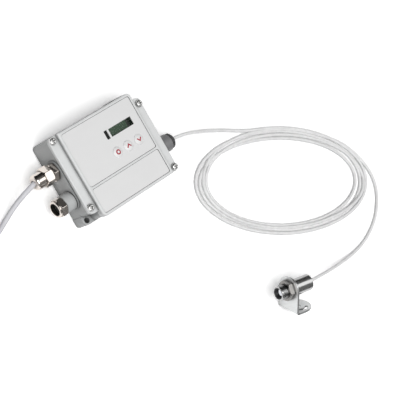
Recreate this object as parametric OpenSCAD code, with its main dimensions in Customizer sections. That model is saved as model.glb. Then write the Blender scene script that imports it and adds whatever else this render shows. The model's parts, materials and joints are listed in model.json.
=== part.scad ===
// Infrared temperature sensor: a die-cast signal box and a small sensing head on a long cable.
// Origin in the middle of the box's back face, X along the label, Z out of the lid.

/* [Signal box] */
// Length of the box over its lid flanges
box_l = 89; // [89:0.5:92]
// Width of the box
box_w = 70; // [70:0.5:73]
// Height of the box with its lid
box_h = 30; // [30:0.5:33]
// Length of the raised panel of the lid
panel_l = 73; // [72:0.5:73]
// Height of the panel above the end flanges
panel_step = 3; // [2.5:0.25:3.5]
// Wall thickness of the castings
wall = 3; // [2.75:0.25:3]
// Radius of the upright corners
corner_r = 4; // [3:0.5:4]
// Radius along the outer edges
edge_r = 1; // [0.5:0.25:1.25]
// Length of each lid corner that makes way for a mounting lug
lug_gap = 6.5; // [6:0.25:6.5]
// Height of the mounting lugs
lug_h = 12.6; // [8:0.2:16]
// Diameter of the two mounting holes
lug_hole_d = 4.5; // [4:0.1:4.6]
// Diameter of a lid screw's thread
lid_screw_d = 3; // [2.5:0.5:3]

/* [Display and buttons] */
// Length of the visible display
lcd_l = 22.8; // [20:0.2:23.4]
// Height of the visible display
lcd_w = 6.5; // [5.5:0.1:6.8]
// Diameter of a button cap
key_d = 8; // [7:0.25:8.5]
// Distance from one button to the next
key_pitch = 11; // [10.5:0.25:11.5]
// How far a button travels
key_travel = 0.5; // [0.3:0.05:0.5]

/* [Cable glands] */
// Height of all cable entries above the back face
gland_z = 15.4; // [15:0.1:15.8]
// Place of the supply gland across the box
supply_y = 12.1; // [11.8:0.1:13]
// Place of the spare gland across the box
spare_y = -12.2; // [-13:0.1:-12]
// Place of the sensor cable's entry across the box
relief_y = -14.1; // [-14.4:0.1:-9]
// Thread diameter of the glands
gland_thread_d = 12; // [11:0.5:12]
// Width across the flats of the supply gland
supply_af = 13.5; // [13.25:0.25:14]
// Width across the flats of the spare gland's nut
spare_af = 13.5; // [13.25:0.25:14]
// Diameter of the spare gland's cast boss
boss_d = 14.4; // [14:0.2:16]
// Diameter of the spare gland's open bore
spare_bore_d = 10; // [7:0.25:10]
// Diameter of the sensor cable relief
relief_d = 14; // [13:0.25:15]

/* [Sensing head] */
// Diameter of the head's rear body
head_d = 14; // [13:0.25:15]
// Diameter of the head's threaded front
head_thread_d = 12; // [11.5:0.25:12]
// Length of the threaded front before the bracket
head_front_l = 11.5; // [9:0.25:12]
// Length of the rear body behind the bracket
head_rear_l = 20; // [18:0.5:24]
// Width across the flats of the head's nut
head_nut_af = 15; // [15:0.25:17]
// Thickness of the head's nut
head_nut_h = 5; // [4:0.25:5]
// Height of the head's axis above the underside of its foot
head_z = 19.5; // [18:0.5:22]
// Width of the bracket
bracket_w = 22; // [20:0.5:24]
// Thickness of the bracket's sheet
bracket_t = 1.5; // [1.2:0.1:1.5]
// Radius on which the bracket's two curved slots lie
slot_r = 7.2; // [7:0.1:7.4]
// Width of a curved slot
slot_w = 2.4; // [2:0.1:2.6]

/* [Cables] */
// Diameter of the supply cable
supply_d = 4; // [3.6:0.1:4]
// Diameter of the sensor cable
sensor_d = 2.8; // [2.4:0.1:2.8]

/* [Hidden] */
$fn = 64;

// Heights through the box
lid_z = 24;
flange_top = box_h - panel_step;
ceiling_z = box_h - 2.4;
label_floor_z = box_h - 0.8;
label_t = 0.4;
floor_t = wall;

// Plan of the box
base_inset = 0.4;
flange_l = (box_l - panel_l) / 2;
cavity_l = 65;
cavity_w = 62;
pocket_l = 16;
pocket_x = box_l / 2 - base_inset - 0.4 - wall - pocket_l / 2;
pocket_near_y = -20.6;
rim_near_y = -18.7;
pocket_far_y = 25;
groove_in = 0.8;
groove_out = 2.2;
gasket_t = 1;
pad_t = 1.6;
pad_d = 16;
pad_x = box_l / 2 - base_inset + pad_t;
wall_in_x = pocket_x + pocket_l / 2;
lug_x = box_l / 2 - 3.7;
lug_y = box_w / 2 - 3.6;
lug_l = 14.5;
lug_w = 8;
screw_x = box_l / 2 - 3;
screw_far_y = box_w / 2 - 3.2;
screw_near_y = -23.5;
screw_len = 11;
screw_places = [
    [-screw_x, screw_far_y], [-screw_x, screw_near_y],
    [screw_x, -screw_far_y], [screw_x, -screw_near_y]
];

// Labels, display and buttons on the panel
field_l = 68;
field_top = 32.5;
field_split = -11;
field_gap = 2.2;
field_bottom = -32.5;
field_clear = 0.25;
lcd_x = 15.4;
lcd_y = 15.6;
status_x = 0.8;
status_l = 2.4;
status_w = 6.3;
key_x = 1.5;
key_y = 0.5;
key_places = [for (key = [0 : 2]) [key_x + key * key_pitch, key_y]];
key_hole_d = key_d + 0.5;
key_collar_t = 1;
key_rise = 0.9;

// Boards
board_t = 1.6;
main_board_z = 8;
main_top = main_board_z + board_t;
display_board_z = 22.4;
display_top = display_board_z + board_t;
display_posts = [[-2.6, 21.8], [-2.6, -7], [30.2, 21.8], [30.2, -7]];
main_posts = [[-27, -25], [-27, 25], [27, -25], [27, 25]];
link_place = [-1.5, 8];
terminal_x = 24;
terminal_z = main_top;
terminal_h = 10;
supply_ways = 5;
sensor_ways = 4;
way_pitch = 4;

// Glands
thread_clear = 0.05;
thread_l = 9;
locknut_t = 3;
locknut_af = 14;
flange_t = 4.5;
supply_nut_z = 5;
supply_turn = 22;
spare_turn = -8;
supply_hex_l = 7;
supply_l = 20;
boss_l = 8.6;
spare_l = 15.5;
relief_l = 9.8;
relief_nut_l = 4;
relief_ribs = 18;

// Sensing head: the middle of its bracket plate's front face, its turn about Z and its roll.
// It leans on one long edge of its foot, which sets the height of its axis.
head_x = 85;
head_y = -166.4;
head_turn = -13.5;
head_roll = 30;
head_axis_z = head_z * sin(head_roll) + bracket_w / 2 * cos(head_roll);
head_total = head_front_l + bracket_t + head_rear_l;
lens_d = 8.6;
cap_t = 3;
bend_r = 2.5;
foot_l = 22;
foot_hole_d = 4.2;
slot_span = 38;

// Routes of the cables, by hand. The box and the head lie on the plane Z 0, and so do they
sensor_route_out = [
    [58.5, -14.1, 15.4], [61.5, -14.1, 15.4], [69, -15, 15.2], [77, -16.6, 14.2], [84, -18.7, 12.5],
    [92, -21.2, 10.2], [100.5, -24.1, 7.6], [108.5, -27.2, 5.2], [117.5, -30.9, 3.2],
    [125.5, -34.8, 2], [133, -38.6, 1.5], [140.5, -42.3, 1.4]
];
sensor_route_in = [
    [239.4, -127, 1.6], [240, -135.5, 1.4], [239.2, -143.2, 1.4], [236.1, -150.8, 1.4],
    [231.5, -157.5, 1.4], [225.9, -163.6, 1.4], [219.3, -169.2, 1.4], [210.1, -174.3, 1.4],
    [200.6, -178.1, 1.4], [189.1, -180.8, 1.4], [177, -181.6, 2.2], [164, -181, 4.2],
    [150.8, -179.4, 7.4], [137.6, -177.5, 11], [126.2, -175.3, 14.8], [115.7, -173.3, 18],
    [108.8, -172, 19.2], [105.9, -171.4, 19.3], [103.5, -170.8, 19.3]
];
supply_route = [
    [-63.7, 12.1, 15.4], [-65, 12.1, 15.4], [-71.5, 10.3, 14.7], [-77.3, 8.4, 12.7],
    [-82.7, 6.1, 9.9], [-87.2, 3.5, 6.8], [-91.2, 0.9, 4.5], [-95.5, -1.6, 2.9],
    [-100.2, -4, 2.1], [-105.2, -6.3, 2], [-110, -7.6, 2.2], [-117, -8, 3.9], [-123, -8, 5.7]
];

// The sensor cable's loose oval coil: the outlines of its outer and inner turns
oval_turn = -25;
oval_outer = [153.1, -95.9, 95.1, 46.8];
oval_inner = [149.2, -95.5, 77.8, 35.1];
oval_h = 6;
oval_steps = 48;

// The supply cable's stored coil, three turns wide and two high
store_place = [-132, 20];
store_r = 24;
store_half = 1.5 * supply_d;

// The supply cable's bare end: three cores, each with a sleeved ferrule
core_d = 1.2;
cores_start = [-121.1, 48, 2];
cores_end = [-108, 48, 1.1];
core_gap_start = 1.3;
core_gap_end = 3.2;

// Plan and section shapes

module rounded_rect(l, w, r) {
    square([l - 2 * r, w], center = true);
    square([l, w - 2 * r], center = true);
    for (x = [-1, 1], y = [-1, 1])
        translate([x * (l / 2 - r), y * (w / 2 - r)])
            circle(r);
}

module slab(l, w, r, z0, z1) {
    translate([0, 0, z0])
        linear_extrude(z1 - z0)
            rounded_rect(l, w, r);
}

// Plan of the lid: the panel and two flanges that leave a corner free for each lug
module lid_outline(inset) {
    rounded_rect(panel_l - 2 * inset, box_w - 2 * inset, corner_r - inset);
    for (turn = [0, 180])
        rotate(turn)
            translate([flange_l - box_l / 2, lug_gap / 2])
                rounded_rect(2 * (flange_l - inset), box_w - lug_gap - 2 * inset, corner_r - inset);
}

module end_pocket(near_y, grow) {
    for (turn = [0, 180])
        rotate(turn)
            translate([-pocket_x, (pocket_far_y + near_y) / 2])
                rounded_rect(pocket_l + 2 * grow, pocket_far_y - near_y + 2 * grow, 2 + grow);
}

// Plan of the hollow, with a pocket at each end for the locknuts
module cavity_outline(near_y, grow) {
    rounded_rect(cavity_l + 2 * grow, cavity_w + 2 * grow, 3 + grow);
    end_pocket(near_y, grow);
}

module label_field(low, high, clear) {
    translate([0, (low + high) / 2])
        rounded_rect(field_l + 2 * clear, high - low + 2 * clear, 1.5);
}

// Round and six-sided bars along Z, with turned ends

module bar(d, h, c) {
    rotate_extrude()
        polygon([[0, 0], [d / 2 - c, 0], [d / 2, c], [d / 2, h - c], [d / 2 - c, h], [0, h]]);
}

module hex_bar(af, h, c) {
    corners_d = af / cos(30);
    intersection() {
        cylinder(d = corners_d, h = h, $fn = 6);
        bar(corners_d - 0.2, h, c);
    }
}

module hole(d, z0, z1) {
    translate([0, 0, z0])
        cylinder(d = d, h = z1 - z0);
}

// Puts a part on the gland end of the box, its axis pointing out of the wall
module at_left(y) {
    translate([-pad_x, y, gland_z])
        rotate([0, -90, 0])
            children();
}

module at_right(y) {
    translate([pad_x, y, gland_z])
        rotate([0, 90, 0])
            children();
}

module locknut() {
    translate([0, 0, wall_in_x - pad_x - locknut_t])
        difference() {
            hex_bar(locknut_af, locknut_t, 0.6);
            hole(gland_thread_d + 2 * thread_clear, -1, locknut_t + 1);
        }
}

// A stud through the wall, with the hollow for the cable
module gland_stud(bore_d) {
    difference() {
        translate([0, 0, -thread_l])
            bar(gland_thread_d, thread_l + 0.5, 0.5);
        hole(bore_d, -thread_l - 1, 1);
    }
}

// A straight round rod between two points
module rod(a, b, d) {
    run = b - a;
    flat = norm([run[0], run[1]]);
    translate(a)
        rotate([0, atan2(flat, run[2]), atan2(run[1], run[0])])
            cylinder(d = d, h = norm(run), $fn = 24);
}

// Signal box

module base_housing() {
    color([0.62, 0.63, 0.63])
        difference() {
            union() {
                base_outside();
                gland_pads();
            }
            translate([0, 0, floor_t])
                linear_extrude(lid_z - 2 - floor_t)
                    cavity_outline(pocket_near_y, 0);
            translate([0, 0, floor_t])
                linear_extrude(lid_z)
                    cavity_outline(rim_near_y, 0);
            gasket_ring();
            for (place = screw_places)
                translate(place)
                    hole(lid_screw_d + 2 * thread_clear, flange_top - screw_len, lid_z + 1);
            for (side = [-1, 1])
                translate([side * lug_x, side * lug_y])
                    hole(lug_hole_d, -1, lug_h + 1);
            for (y = [supply_y, spare_y])
                at_left(y)
                    hole(gland_thread_d + 2 * thread_clear, -10, 1);
            at_right(relief_y)
                hole(gland_thread_d + 2 * thread_clear, -10, 1);
        }
    color([0.62, 0.63, 0.63])
        for (place = main_posts)
            translate(place)
                difference() {
                    hole(6, floor_t - 0.5, main_board_z);
                    hole(2.5, floor_t + 1, main_board_z + 1);
                }
}

// The outer block: its full plan up to the lugs' height, the lid's plan above it
module base_outside() {
    length = box_l - 2 * base_inset;
    width = box_w - 2 * base_inset;
    intersection() {
        union() {
            slab(length, width, corner_r, 0, lug_h);
            linear_extrude(lid_z)
                lid_outline(base_inset);
        }
        foot_block(length, width);
    }
    lugs();
}

// An upright block with rounded lower edges
module foot_block(length, width) {
    intersection() {
        rotate([90, 0, 0])
            linear_extrude(width, center = true)
                translate([0, box_h])
                    rounded_rect(length, 2 * box_h, edge_r);
        rotate([90, 0, 90])
            linear_extrude(length, center = true)
                translate([0, box_h])
                    rounded_rect(width, 2 * box_h, edge_r);
    }
}

// The mounting lugs at two opposite corners
module lugs() {
    intersection() {
        slab(box_l, box_w, corner_r, 0, lug_h);
        foot_block(box_l, box_w);
        for (turn = [0, 180])
            rotate(turn)
                translate([-box_l / 2, -box_w / 2, 0])
                    cube([lug_l, lug_w, lug_h]);
    }
}

// Raised pads under the glands: an oblong one for two, a round one for the sensor cable
module gland_pads() {
    pad_root = -pad_t - 1;
    for (y = [supply_y, spare_y])
        at_left(y)
            hole(pad_d, pad_root, 0);
    translate([-pad_x, spare_y, gland_z - pad_d / 2])
        cube([pad_t + 1, supply_y - spare_y, pad_d]);
    at_right(relief_y)
        hole(pad_d, pad_root, 0);
}

module gasket_ring() {
    translate([0, 0, lid_z - gasket_t])
        linear_extrude(gasket_t)
            difference() {
                cavity_outline(rim_near_y, groove_out);
                cavity_outline(rim_near_y, groove_in);
            }
}

module lid_gasket() {
    color([0.15, 0.15, 0.16])
        gasket_ring();
}

module lid() {
    color([0.8, 0.81, 0.81])
        difference() {
            lid_outside();
            slab(cavity_l, cavity_w, 3, lid_z - 1, ceiling_z);
            translate([0, 0, label_floor_z])
                linear_extrude(2) {
                    label_field(field_split, field_top, field_clear);
                    label_field(field_bottom, field_split - field_gap, field_clear);
                }
            translate([lcd_x, lcd_y])
                slab(lcd_l + 1.6, lcd_w + 1.2, 0.6, ceiling_z - 1, box_h);
            translate([status_x, lcd_y])
                slab(status_l + 0.4, status_w + 0.4, 0.6, ceiling_z - 1, box_h);
            for (place = key_places)
                translate(place)
                    hole(key_hole_d, ceiling_z - 1, box_h);
            for (place = screw_places)
                translate(place)
                    hole(lid_screw_d + 0.4, lid_z - 1, flange_top + 1);
        }
    color([0.8, 0.81, 0.81])
        for (place = display_posts)
            translate(place)
                difference() {
                    hole(4.4, display_top, ceiling_z + 0.5);
                    hole(1.8, display_top - 1, ceiling_z);
                }
}

// The lid's outer form: its plan cut by a stepped section one way and a plain one the other
module lid_outside() {
    intersection() {
        translate([0, 0, lid_z])
            linear_extrude(box_h - lid_z)
                lid_outline(0);
        rotate([90, 0, 0])
            linear_extrude(box_w + 2, center = true) {
                translate([0, flange_top - box_h / 2])
                    rounded_rect(box_l, box_h, edge_r);
                translate([0, box_h / 2])
                    rounded_rect(panel_l, box_h, edge_r);
            }
        rotate([90, 0, 90])
            linear_extrude(box_l + 2, center = true)
                translate([0, box_h / 2])
                    rounded_rect(box_w, box_h, edge_r);
    }
}

module lid_screws() {
    color([0.78, 0.78, 0.76])
        for (place = screw_places)
            translate([place[0], place[1], flange_top])
                pan_screw(lid_screw_d, 5.5, 2.1, screw_len - 1);
}

// A pan head screw seated at Z 0, with a cross recess
module pan_screw(thread_d, head_d, head_h, length) {
    difference() {
        union() {
            pan_head(head_d, head_h);
            hole(thread_d, -length, 0.2);
        }
        for (turn = [0, 90])
            rotate(turn)
                translate([0, 0, head_h])
                    cube([head_d * 0.55, 0.18 * head_d, head_h * 1.1], center = true);
    }
}

// A flat cylinder whose upper edge is a quarter round
module pan_head(d, h) {
    rotate_extrude() {
        square([d / 2 - h * 0.6, h]);
        square([d / 2, h * 0.4]);
        intersection() {
            translate([d / 2 - h * 0.6, h * 0.4])
                circle(h * 0.6);
            square([d / 2, h]);
        }
    }
}

module upper_label() {
    color([0.9, 0.9, 0.9])
        translate([0, 0, label_floor_z])
            linear_extrude(label_t)
                difference() {
                    label_field(field_split, field_top, 0);
                    translate([lcd_x, lcd_y])
                        rounded_rect(lcd_l, lcd_w, 0.3);
                    translate([status_x, lcd_y])
                        rounded_rect(status_l, status_w, 0.3);
                    for (place = key_places)
                        translate(place)
                            circle(d = key_hole_d);
                }
}

module lower_label() {
    color([0.9, 0.9, 0.9])
        translate([0, 0, label_floor_z])
            linear_extrude(label_t)
                label_field(field_bottom, field_split - field_gap, 0);
}

// A clear plug in the lid's opening with a flange glued to its ceiling
module window_plug(l, w, lip) {
    slab(l, w, 0.4, ceiling_z, label_floor_z);
    slab(l + lip, w + lip, 0.6, ceiling_z - 0.8, ceiling_z);
}

module display_window() {
    color([0.75, 0.85, 0.8, 0.5])
        translate([lcd_x, lcd_y])
            window_plug(lcd_l + 1.2, lcd_w + 0.8, 1.6);
}

module status_window() {
    color([0.08, 0.09, 0.09])
        translate([status_x, lcd_y])
            window_plug(status_l + 0.1, status_w + 0.1, 0.8);
}

module display_module() {
    color([0.33, 0.42, 0.35])
        translate([lcd_x, lcd_y])
            slab(lcd_l + 3, lcd_w + 2.4, 0.5, display_top, ceiling_z - 0.9);
}

module display_board() {
    color([0.1, 0.36, 0.2])
        difference() {
            translate([13.7, 7.4])
                slab(37.2, 33.4, 1, display_board_z, display_top);
            for (place = display_posts)
                translate(place)
                    hole(2.1, display_board_z - 1, display_top + 1);
        }
}

module display_screws() {
    color([0.75, 0.75, 0.73])
        for (place = display_posts)
            translate([place[0], place[1], display_board_z])
                rotate([180, 0, 0])
                    pan_screw(1.7, 3.6, 1.2, 4);
}

module key_switches() {
    color([0.2, 0.2, 0.21])
        for (place = key_places)
            translate(place)
                difference() {
                    slab(6, 6, 0.6, display_top, display_top + 2);
                    hole(3.2, display_top + 0.6, display_top + 3);
                }
}

// A button cap: a low dome, a collar under the lid's ceiling and a stem to its actuator
module button_cap(place) {
    cap_top = box_h + key_rise;
    dome_r = (key_d * key_d / 4 + key_rise * key_rise) / (2 * key_rise);
    color([0.95, 0.95, 0.95])
        translate(place) {
            intersection() {
                hole(key_d, ceiling_z - 0.5, cap_top);
                translate([0, 0, cap_top - dome_r])
                    sphere(dome_r, $fn = 96);
            }
            hole(key_d + 1.6, ceiling_z - key_collar_t, ceiling_z);
            hole(3, display_top + 2.3, ceiling_z);
        }
}

module button_mode() {
    button_cap(key_places[0]);
}

module button_up() {
    button_cap(key_places[1]);
}

module button_down() {
    button_cap(key_places[2]);
}

// A switch's plunger, which stands in the switch's well and meets the button's stem
module actuator(place) {
    color([0.85, 0.8, 0.6])
        translate(place)
            hole(2.8, display_top + 1.3, display_top + 2.3);
}

module actuator_mode() {
    actuator(key_places[0]);
}

module actuator_up() {
    actuator(key_places[1]);
}

module actuator_down() {
    actuator(key_places[2]);
}

// A header and a socket that join the two boards
module board_link() {
    socket_h = 8.5;
    header_h = 2.5;
    color([0.12, 0.12, 0.13])
        translate(link_place) {
            slab(5, 12.7, 0.4, main_top, main_top + socket_h);
            slab(5, 12.7, 0.4, display_board_z - header_h, display_board_z);
        }
    color([0.75, 0.65, 0.35])
        for (row = [0 : 4], side = [-1, 1])
            translate(link_place + [side * 1.27, (row - 2) * 2.54])
                slab(0.6, 0.6, 0.1, main_top + socket_h, display_board_z - header_h);
}

module main_board() {
    color([0.1, 0.36, 0.2])
        difference() {
            slab(62, 58, 2, main_board_z, main_top);
            for (place = main_posts)
                translate(place)
                    hole(2.8, main_board_z - 1, main_top + 1);
        }
}

module board_screws() {
    color([0.75, 0.75, 0.73])
        for (place = main_posts)
            translate([place[0], place[1], main_top])
                pan_screw(2.4, 4.5, 1.6, 5);
}

// A screw terminal block with its wire entries towards the nearer end wall
module terminal_block(ways) {
    length = ways * way_pitch;
    difference() {
        union() {
            slab(8, length, 0.3, 0, terminal_h - 2);
            slab(5.5, length, 0.3, 0, terminal_h);
        }
        for (way = [0 : ways - 1])
            translate([0, (way - (ways - 1) / 2) * way_pitch]) {
                translate([0, 0, 4])
                    rotate([0, -90, 0])
                        hole(2.4, 1, 5);
                hole(2.8, terminal_h - 1.5, terminal_h + 1);
            }
    }
}

module supply_terminals() {
    color([0.25, 0.5, 0.3])
        translate([-terminal_x, supply_y - 2, terminal_z])
            terminal_block(supply_ways);
}

module sensor_terminals() {
    color([0.25, 0.5, 0.3])
        translate([terminal_x, relief_y, terminal_z])
            rotate(180)
                terminal_block(sensor_ways);
}

module processor() {
    color([0.1, 0.1, 0.11])
        translate([4, -6])
            slab(12, 12, 0.5, main_top, main_top + 1.4);
}

module capacitors() {
    color([0.2, 0.22, 0.3])
        for (x = [-8, 2])
            translate([x, -22, main_top])
                bar(8, 9, 0.5);
}

// Supply gland

module supply_gland_body() {
    color([0.72, 0.68, 0.62])
        at_left(supply_y) {
            gland_stud(6);
            difference() {
                union() {
                    rotate(supply_turn + 30)
                        hex_bar(supply_af - 0.5, flange_t, 0.6);
                    hole(10.6, 1, 12);
                }
                hole(6, -1, 9);
                hole(8.2, 9, 13);
            }
        }
}

// The clamping nut: a six-sided skirt and a domed front
module supply_gland_nut() {
    front = supply_l - supply_nut_z;
    dome_d = supply_af - 1.4;
    round_r = 2.2;
    color([0.74, 0.7, 0.64])
        at_left(supply_y)
            translate([0, 0, supply_nut_z])
                difference() {
                    union() {
                        rotate(supply_turn)
                            hex_bar(supply_af, supply_hex_l, 0.7);
                        rotate_extrude() {
                            square([dome_d / 2, front - round_r]);
                            square([dome_d / 2 - round_r, front]);
                            translate([dome_d / 2 - round_r, front - round_r])
                                circle(round_r);
                        }
                    }
                    hole(10.8, -1, 7.2);
                    hole(8.4, 7, front - 2);
                    hole(supply_d + 0.6, 1, front + 1);
                }
}

module supply_gland_seal() {
    color([0.12, 0.12, 0.12])
        at_left(supply_y)
            difference() {
                hole(8.2, 9, supply_l - 2);
                hole(supply_d, 8, supply_l);
            }
}

module supply_gland_locknut() {
    color([0.74, 0.7, 0.64])
        at_left(supply_y)
            locknut();
}

// Spare gland

module spare_gland_body() {
    color([0.7, 0.71, 0.71])
        at_left(spare_y) {
            gland_stud(spare_bore_d);
            difference() {
                union() {
                    bar(boss_d, boss_l, 0.5);
                    hole(11.4, 5, boss_l + 3);
                }
                hole(spare_bore_d, -1, boss_l + 4);
            }
        }
}

// The spare nut: six flats, then a round rim about the open bore
module spare_gland_nut() {
    length = spare_l - boss_l - 0.2;
    color([0.76, 0.76, 0.74])
        at_left(spare_y)
            translate([0, 0, boss_l + 0.2])
                difference() {
                    union() {
                        rotate(spare_turn)
                            hex_bar(spare_af, length - 1.4, 0.7);
                        translate([0, 0, 1])
                            bar(spare_af - 0.2, length - 1, 0.5);
                    }
                    hole(11.6, -1, 3.4);
                    hole(spare_bore_d, 1, length + 1);
                }
}

module spare_gland_seal() {
    color([0.06, 0.06, 0.06])
        at_left(spare_y)
            bar(spare_bore_d, boss_l + 3, 0.4);
}

module spare_gland_locknut() {
    color([0.76, 0.76, 0.74])
        at_left(spare_y)
            locknut();
}

// Relief of the sensor cable

module relief_body() {
    color([0.5, 0.5, 0.5])
        at_right(relief_y) {
            gland_stud(6);
            difference() {
                union() {
                    bar(relief_d, relief_l, 0.6);
                    hole(9.4, 1, relief_l + 3);
                }
                hole(6, -1, relief_l + 4);
            }
        }
}

// A ribbed cap nut with a sloping front
module relief_nut() {
    d = relief_d - 1.2;
    color([0.3, 0.3, 0.31])
        at_right(relief_y)
            translate([0, 0, relief_l])
                difference() {
                    rotate_extrude()
                        polygon([
                            [0, 0], [d / 2, 0], [d / 2, relief_nut_l - 1.6],
                            [d / 2 - 1.6, relief_nut_l], [0, relief_nut_l]
                        ]);
                    hole(9.6, -1, 3.2);
                    hole(sensor_d + 0.6, 1, relief_nut_l + 1);
                    for (rib = [0 : relief_ribs - 1])
                        rotate(rib * 360 / relief_ribs)
                            translate([d / 2 + 0.25, 0])
                                hole(1.3, -1, relief_nut_l + 1);
                }
}

module relief_sleeve() {
    color([0.85, 0.85, 0.84])
        at_right(relief_y)
            difference() {
                hole(6, 2, relief_l + 3);
                hole(sensor_d, 1, relief_l + 4);
            }
}

module relief_locknut() {
    color([0.6, 0.6, 0.6])
        at_right(relief_y)
            locknut();
}

// Cable ends inside the box: the jacket through the gland and its cores to the terminals

module supply_lead_in() {
    jacket_end = [-pad_x + 12, supply_y, gland_z];
    entry_x = -terminal_x - 3;
    color([0.8, 0.81, 0.84])
        rod(jacket_end, [-pad_x - supply_l + 2, supply_y, gland_z], supply_d);
    color([0.6, 0.3, 0.2])
        for (core = [-1, 0, 1])
            rod(
                jacket_end + [0, core * 1.2, 0],
                [entry_x, supply_y - 2 + core * way_pitch, terminal_z + 4],
                1.1
            );
}

module sensor_lead_in() {
    jacket_end = [pad_x - 12, relief_y, gland_z];
    entry_x = terminal_x + 3;
    color([0.9, 0.9, 0.9])
        rod([pad_x + relief_l + 3, relief_y, gland_z], jacket_end, sensor_d);
    color([0.3, 0.4, 0.6])
        for (core = [-1.5, -0.5, 0.5, 1.5])
            rod(
                jacket_end + [0, core * 0.6, 0],
                [entry_x, relief_y + core * way_pitch, terminal_z + 4],
                0.6
            );
}

// Sensing head. Its round parts have Z along the head's axis, from the front face backwards

module head_place() {
    translate([head_x, head_y, head_axis_z])
        rotate([head_roll, 0, head_turn])
            children();
}

module at_head() {
    head_place()
        translate([-head_front_l, 0, 0])
            rotate([0, 90, 0])
                children();
}

module head_housing() {
    shoulder = head_front_l + bracket_t;
    color([0.7, 0.7, 0.71])
        at_head()
            difference() {
                union() {
                    bar(head_thread_d, shoulder + 1, 0.6);
                    translate([0, 0, shoulder])
                        bar(head_d, head_rear_l, 0.5);
                }
                hole(lens_d + 1, -1, 3.8);
                hole(7, 3, 8);
                hole(10.4, 7, head_total - cap_t + 0.5);
                hole(12, head_total - cap_t, head_total + 1);
            }
}

module head_nut() {
    color([0.65, 0.65, 0.66])
        at_head()
            translate([0, 0, head_front_l - head_nut_h])
                difference() {
                    hex_bar(head_nut_af, head_nut_h, 0.8);
                    hole(head_thread_d + 2 * thread_clear, -1, head_nut_h + 1);
                }
}

// A lens with a flat back and a domed front
module lens() {
    lens_r = 9;
    color([0.78, 0.8, 0.84])
        at_head()
            intersection() {
                hole(lens_d + 1, 1.6, 3.8);
                translate([0, 0, 1.7 + lens_r])
                    sphere(lens_r, $fn = 96);
            }
}

module lens_ring() {
    color([0.08, 0.08, 0.09])
        at_head()
            difference() {
                translate([0, 0, 0.4])
                    cylinder(d = lens_d + 1, h = 1.8);
                translate([0, 0, 0.3])
                    cylinder(d1 = lens_d - 0.4, d2 = lens_d - 1.6, h = 2);
                translate([0, 0, 1.7 + 9])
                    sphere(9.02, $fn = 96);
            }
}

// The detector's round can on its wider base
module detector() {
    color([0.74, 0.72, 0.62])
        at_head() {
            translate([0, 0, 8])
                bar(8.2, 5.5, 0.4);
            translate([0, 0, 13])
                bar(9.6, 1.2, 0.2);
        }
}

module head_board() {
    color([0.1, 0.36, 0.2])
        at_head()
            translate([0, 0, 15.5])
                difference() {
                    cylinder(d = 10.2, h = 1.2);
                    for (turn = [0 : 90 : 270])
                        rotate(turn)
                            translate([3.4, 0])
                                hole(0.9, -1, 2);
                }
}

module head_rear_cap() {
    color([0.68, 0.68, 0.69])
        at_head()
            translate([0, 0, head_total - cap_t])
                difference() {
                    bar(12, cap_t, 0.4);
                    hole(sensor_d, -1, cap_t + 1);
                }
}

// Bracket: one bent sheet with a round-topped plate and a round-ended foot

// Section of the bend, with a little of the straight sheet on both sides of it
module bend_section() {
    translate([bend_r, 0])
        square([1, bracket_t]);
    translate([0, bend_r])
        square([bracket_t, 1]);
    intersection() {
        translate([bend_r, bend_r])
            difference() {
                circle(bend_r);
                circle(bend_r - bracket_t);
            }
        square(bend_r);
    }
}

module curved_slot() {
    intersection() {
        difference() {
            circle(slot_r + slot_w / 2);
            circle(slot_r - slot_w / 2);
        }
        polygon([[0, 0], 20 * [sin(slot_span), cos(slot_span)], 20 * [-sin(slot_span), cos(slot_span)]]);
    }
    for (turn = [-slot_span, slot_span])
        rotate(turn)
            translate([0, slot_r])
                circle(d = slot_w + 0.08);
}

// The bracket is drawn standing on its foot, then laid over with the head
module bracket_place() {
    head_place()
        translate([0, -head_z, 0])
            rotate([-90, 0, 0])
                children();
}

module bracket() {
    foot_mid = foot_l - bracket_w / 2;
    half = bracket_w / 2;
    color([0.75, 0.76, 0.76])
        bracket_place()
            difference() {
                union() {
                    rotate([90, 0, 0])
                        linear_extrude(bracket_w, center = true)
                            bend_section();
                    translate([0, -half, bend_r + 0.5])
                        cube([bracket_t, bracket_w, head_z - bend_r - 0.5]);
                    translate([0, 0, head_z])
                        rotate([0, 90, 0])
                            cylinder(r = half, h = bracket_t);
                    translate([bend_r + 0.5, -half, 0])
                        cube([foot_mid - bend_r - 0.5, bracket_w, bracket_t]);
                    intersection() {
                        translate([foot_mid, 0])
                            cylinder(r = half, h = bracket_t);
                        translate([bend_r + 0.5, -half, 0])
                            cube([foot_l, bracket_w, bracket_t]);
                    }
                }
                translate([0, 0, head_z])
                    rotate([0, 90, 0])
                        hole(head_thread_d + 0.2, -1, 3);
                translate([foot_mid, 0]) {
                    hole(foot_hole_d, -1, 3);
                    for (turn = [0, 180])
                        rotate(turn)
                            translate([0, 0, -1])
                                linear_extrude(4)
                                    curved_slot();
                }
            }
}

// Cables

function unit(v) = v / norm(v);

// The points round a route at one of its points
function ring_points(route, i, d, sides) =
    let (
        last = len(route) - 1,
        ahead = unit(route[min(i + 1, last)] - route[max(i - 1, 0)]),
        side = unit(cross(ahead, [0, 0, 1])),
        up = cross(side, ahead)
    )
    [for (k = [0 : sides - 1])
        let (turn = (k + 0.5) * 360 / sides)
        route[i] + d / 2 * (cos(turn) * side + sin(turn) * up)];

// A tube along a route, with a ring at each of its points
module tube(route, d, sides) {
    last = len(route) - 1;
    walls = [for (i = [0 : last - 1], k = [0 : sides - 1])
        let (next = (k + 1) % sides)
        [i * sides + k, i * sides + next, (i + 1) * sides + next, (i + 1) * sides + k]];
    start_cap = [for (k = [0 : sides - 1]) sides - 1 - k];
    end_cap = [for (k = [0 : sides - 1]) last * sides + k];
    polyhedron(
        points = [for (i = [0 : last]) each ring_points(route, i, d, sides)],
        faces = concat([start_cap], walls, [end_cap]),
        convexity = 4
    );
}

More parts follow.
